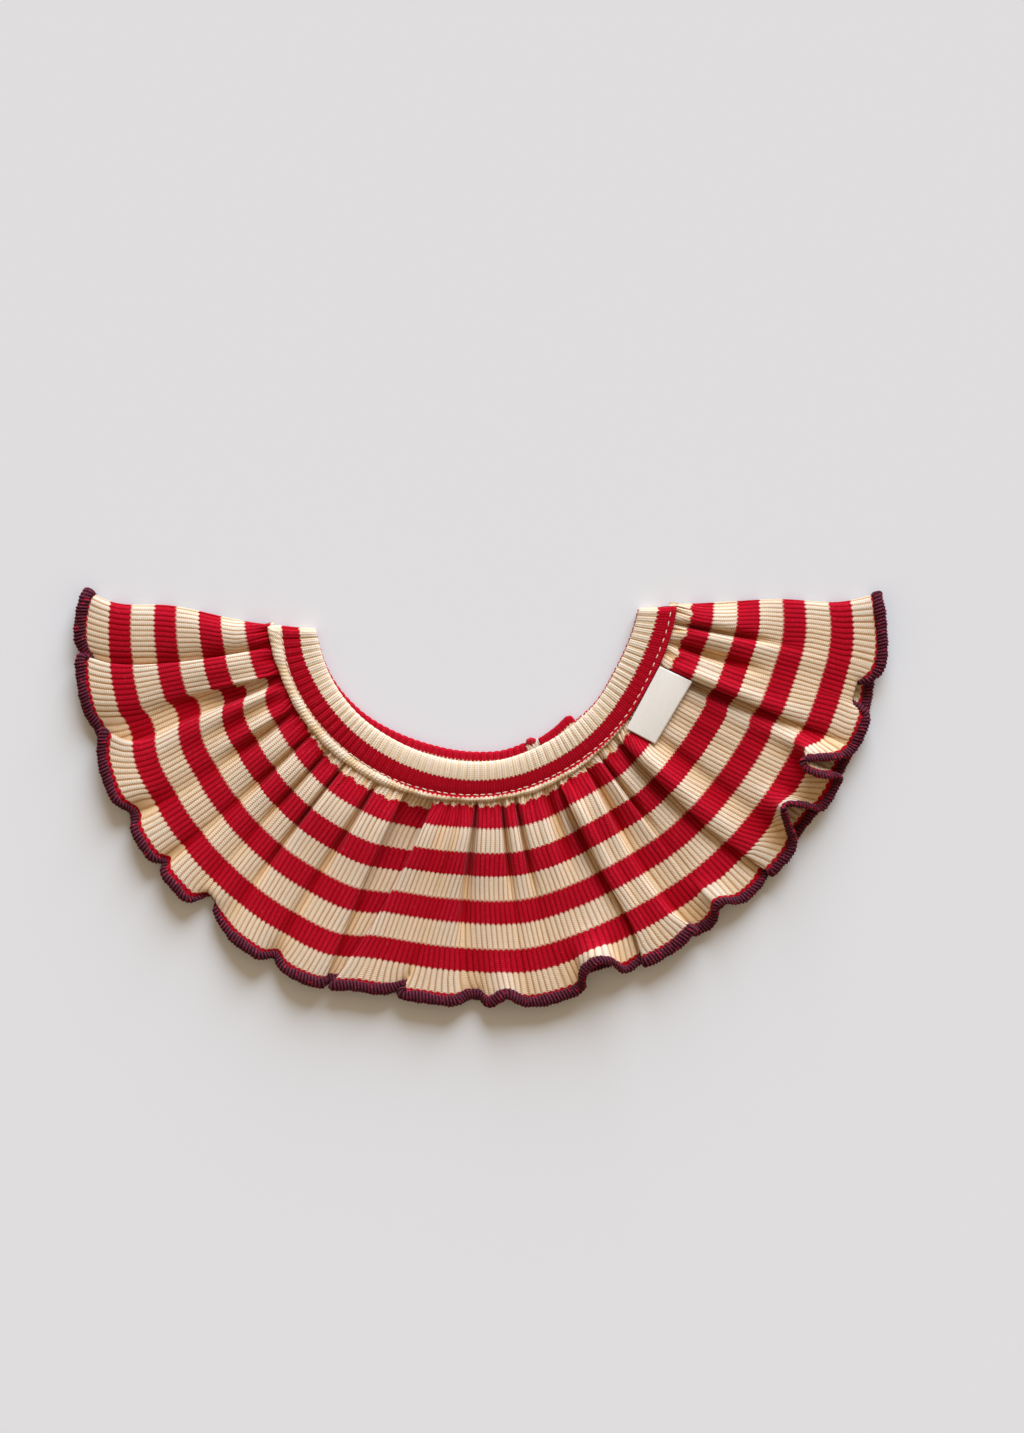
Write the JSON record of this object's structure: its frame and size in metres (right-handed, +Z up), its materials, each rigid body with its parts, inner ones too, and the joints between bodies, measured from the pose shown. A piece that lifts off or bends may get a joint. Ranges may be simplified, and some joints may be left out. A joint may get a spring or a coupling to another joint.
{
  "type": "child's gathered ruffle collar",
  "caption": "Detachable ruffle collar in striped rib jersey: a double neckband with a gathered strip sewn under it, folded in half at the shoulders and laid flat as a fan.",
  "frame": {"origin": "on the surface the collar lies on, under the middle of its outline's box", "axes": "+X from the left shoulder fold to the right one, +Y from the front hem towards the open neck, +Z up off the surface"},
  "size_m": [0.3242, 0.1668, 0.0143],
  "materials": {
    "striped_rib": "soft matt cotton rib, red and cream stripes",
    "band_rib": "soft matt cotton rib, one cream and one red stripe",
    "label_tape": "woven white tape",
    "edge_thread": "fluffy overlock thread, plum with red flecks",
    "stitch_thread": "twisted sewing thread"
  },
  "bodies": {
    "root": {"ruffle_front": "striped_rib", "ruffle_back_left": "striped_rib", "ruffle_back_right": "striped_rib", "neckband_front": "band_rib", "neckband_back_left": "band_rib", "neckband_back_right": "band_rib", "neckband_tab": "band_rib", "label": "label_tape"}
  },
  "joints": []
}
